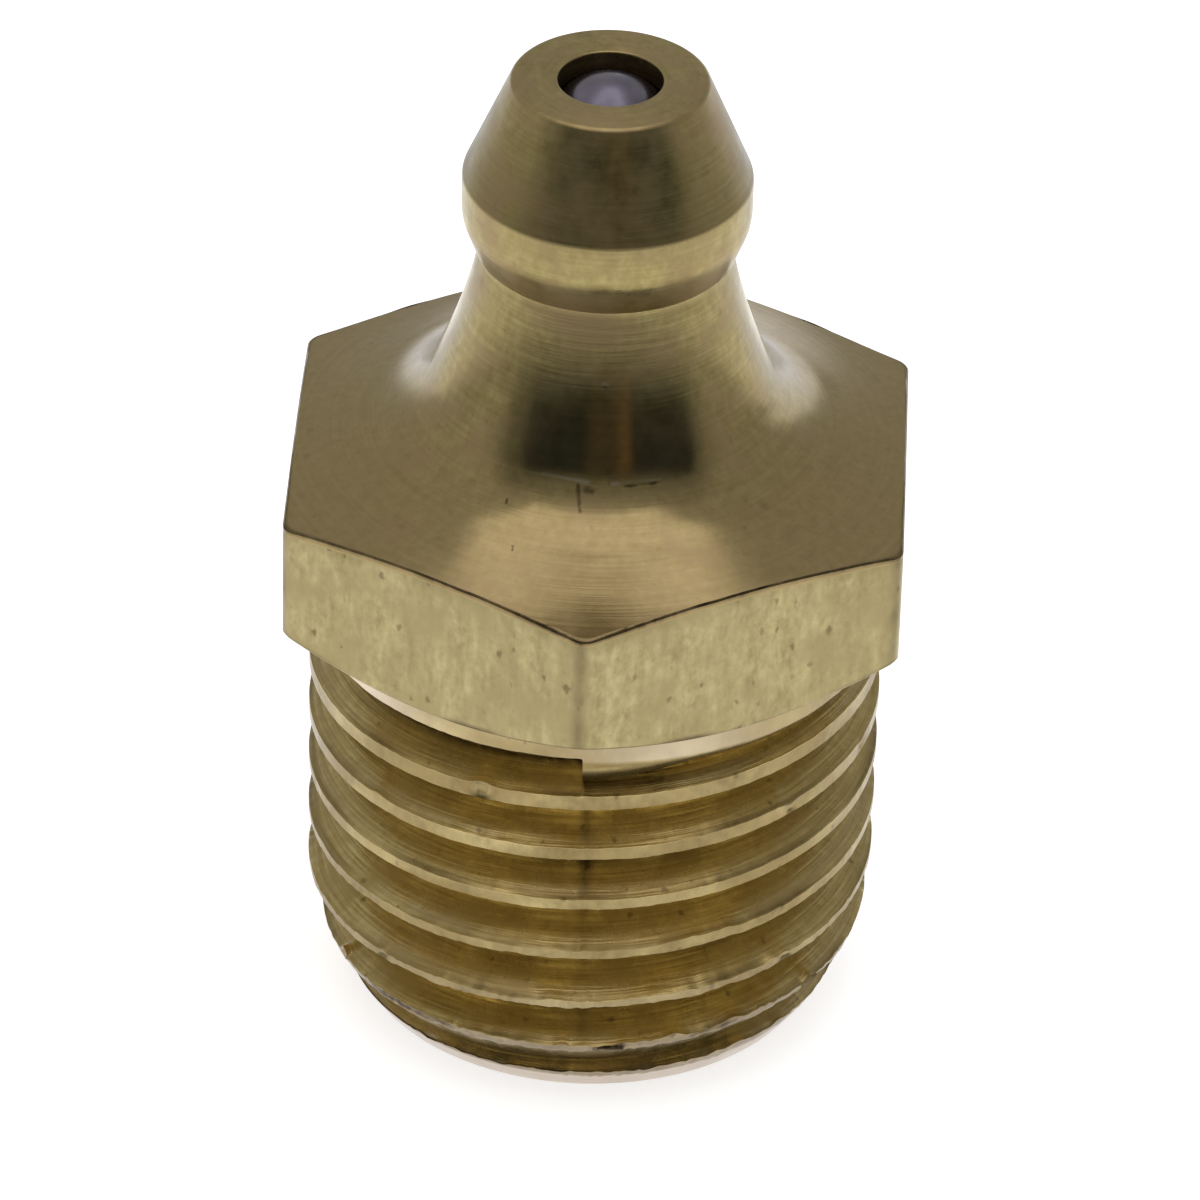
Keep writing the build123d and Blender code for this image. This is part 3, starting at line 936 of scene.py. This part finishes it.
def glowing(made, levels):
    """Lights a stage mesh with a colour for each of its points, which only mirrors see."""
    store = made.data.color_attributes.new("glow", "FLOAT_COLOR", "POINT")
    rgba = np.ones((len(made.data.vertices), 4))
    rgba[:, :3] = levels.reshape(-1, 3)
    store.data.foreach_set("color", rgba.ravel())
    material, tree = new_material(made.name)
    read = add(tree, "ShaderNodeAttribute", attribute_name="glow")
    glow = add(tree, "ShaderNodeEmission", {"Color": read.outputs["Color"], "Strength": 1.0})
    add(tree, "ShaderNodeOutputMaterial", {"Surface": glow.outputs[0]})
    material.cycles.emission_sampling = "NONE"
    made.data.materials.append(material)
    made.visible_camera = False
    made.visible_diffuse = False
    made.visible_transmission = False
    made.visible_shadow = False


def around(azimuth, reach, height):
    """Points round the axis, with azimuths as in room_glow and lengths in metres."""
    turn = np.radians(azimuth)
    return np.stack([reach * np.sin(turn), -reach * np.cos(turn), azimuth * 0 + height], axis=-1)


def grid_faces(rows_count, columns):
    """The quads between rows of points that close on themselves."""
    return [
        (i * columns + j, i * columns + (j + 1) % columns,
         (i + 1) * columns + (j + 1) % columns, (i + 1) * columns + j)
        for i in range(rows_count - 1)
        for j in range(columns)
    ]


ROOM_RADIUS = 0.9             # metres, as are the two heights
TABLE_Z = 0.0004
PAPER_Z = 0.00001

azimuths = np.arange(-180, 180, 1.5)
a, e = np.meshgrid(azimuths, np.linspace(-0.2, 90, 61))
dome_points = around(a, np.cos(np.radians(e)), np.sin(np.radians(e))) * ROOM_RADIUS
dome = staged("room", dome_points.reshape(-1, 3), grid_faces(len(a), len(azimuths)))
glowing(dome, room_glow(a, e))

reaches = np.concatenate([np.linspace(0.04, 0.2, 33), np.linspace(0.22, ROOM_RADIUS, 18)])
a, reach = np.meshgrid(azimuths, reaches)
table = staged("table_top", around(a, reach, TABLE_Z).reshape(-1, 3), grid_faces(len(a), len(azimuths)))
glowing(table, table_glow(a, reach))

# The white paper right beside the end face, which the last groove and the end ring mirror
a, reach = np.meshgrid(azimuths, np.linspace(0.0045, 0.0085, 3))
paper_points = around(a, reach, PAPER_Z).reshape(-1, 3)
paper = staged("paper_by_the_end", paper_points, grid_faces(len(a), len(azimuths)))
glowing(paper, np.zeros(a.shape + (3,)) + [0.92, 0.90, 0.92])

lamp = bpy.data.lights.new("overhead_lamp", "AREA")
lamp.shape = "RECTANGLE"
lamp.size, lamp.size_y = 0.5, 0.5
lamp.energy = 1.0
overhead = placed("overhead_lamp", lamp)
overhead.location = (0, 0.05, 0.5)
overhead.visible_glossy = False

world = bpy.data.worlds.new("studio")
bpy.context.scene.world = world
world.use_nodes = True
tree = world.node_tree
tree.nodes.clear()
strength = add(tree, "ShaderNodeMapRange", {"Value": seen_directly(tree), "To Min": 0.65, "To Max": 1.0})
backdrop = add(tree, "ShaderNodeBackground", {"Color": (1, 1, 1, 1), "Strength": strength.outputs[0]})
add(tree, "ShaderNodeOutputWorld", {"Surface": backdrop.outputs[0]})

CAMERA_ELEVATION = radians(34.148)
CAMERA_AZIMUTH = radians(1.68)
CAMERA_ROLL = radians(1.591)
CAMERA_DISTANCE = 190.23
CAMERA_AIM = (0.084, 0.0025, 9.833)
CAMERA_LENS = 247.9

camera = placed("camera", bpy.data.cameras.new("camera"))
camera.data.lens = CAMERA_LENS
camera.data.sensor_width = 36
camera.data.clip_start = 0.01
towards = Vector((cos(CAMERA_ELEVATION) * sin(CAMERA_AZIMUTH),
                  -cos(CAMERA_ELEVATION) * cos(CAMERA_AZIMUTH), sin(CAMERA_ELEVATION)))
right = Vector((cos(CAMERA_AZIMUTH), sin(CAMERA_AZIMUTH), 0))
up = towards.cross(right)
level_right = right * cos(CAMERA_ROLL) + up * sin(CAMERA_ROLL)
level_up = up * cos(CAMERA_ROLL) - right * sin(CAMERA_ROLL)
turned = Matrix((level_right, level_up, towards)).transposed().to_4x4()
camera.matrix_world = Matrix.Translation((Vector(CAMERA_AIM) + towards * CAMERA_DISTANCE) * MM) @ turned
bpy.context.scene.camera = camera
bpy.context.scene.view_settings.view_transform = "Standard"
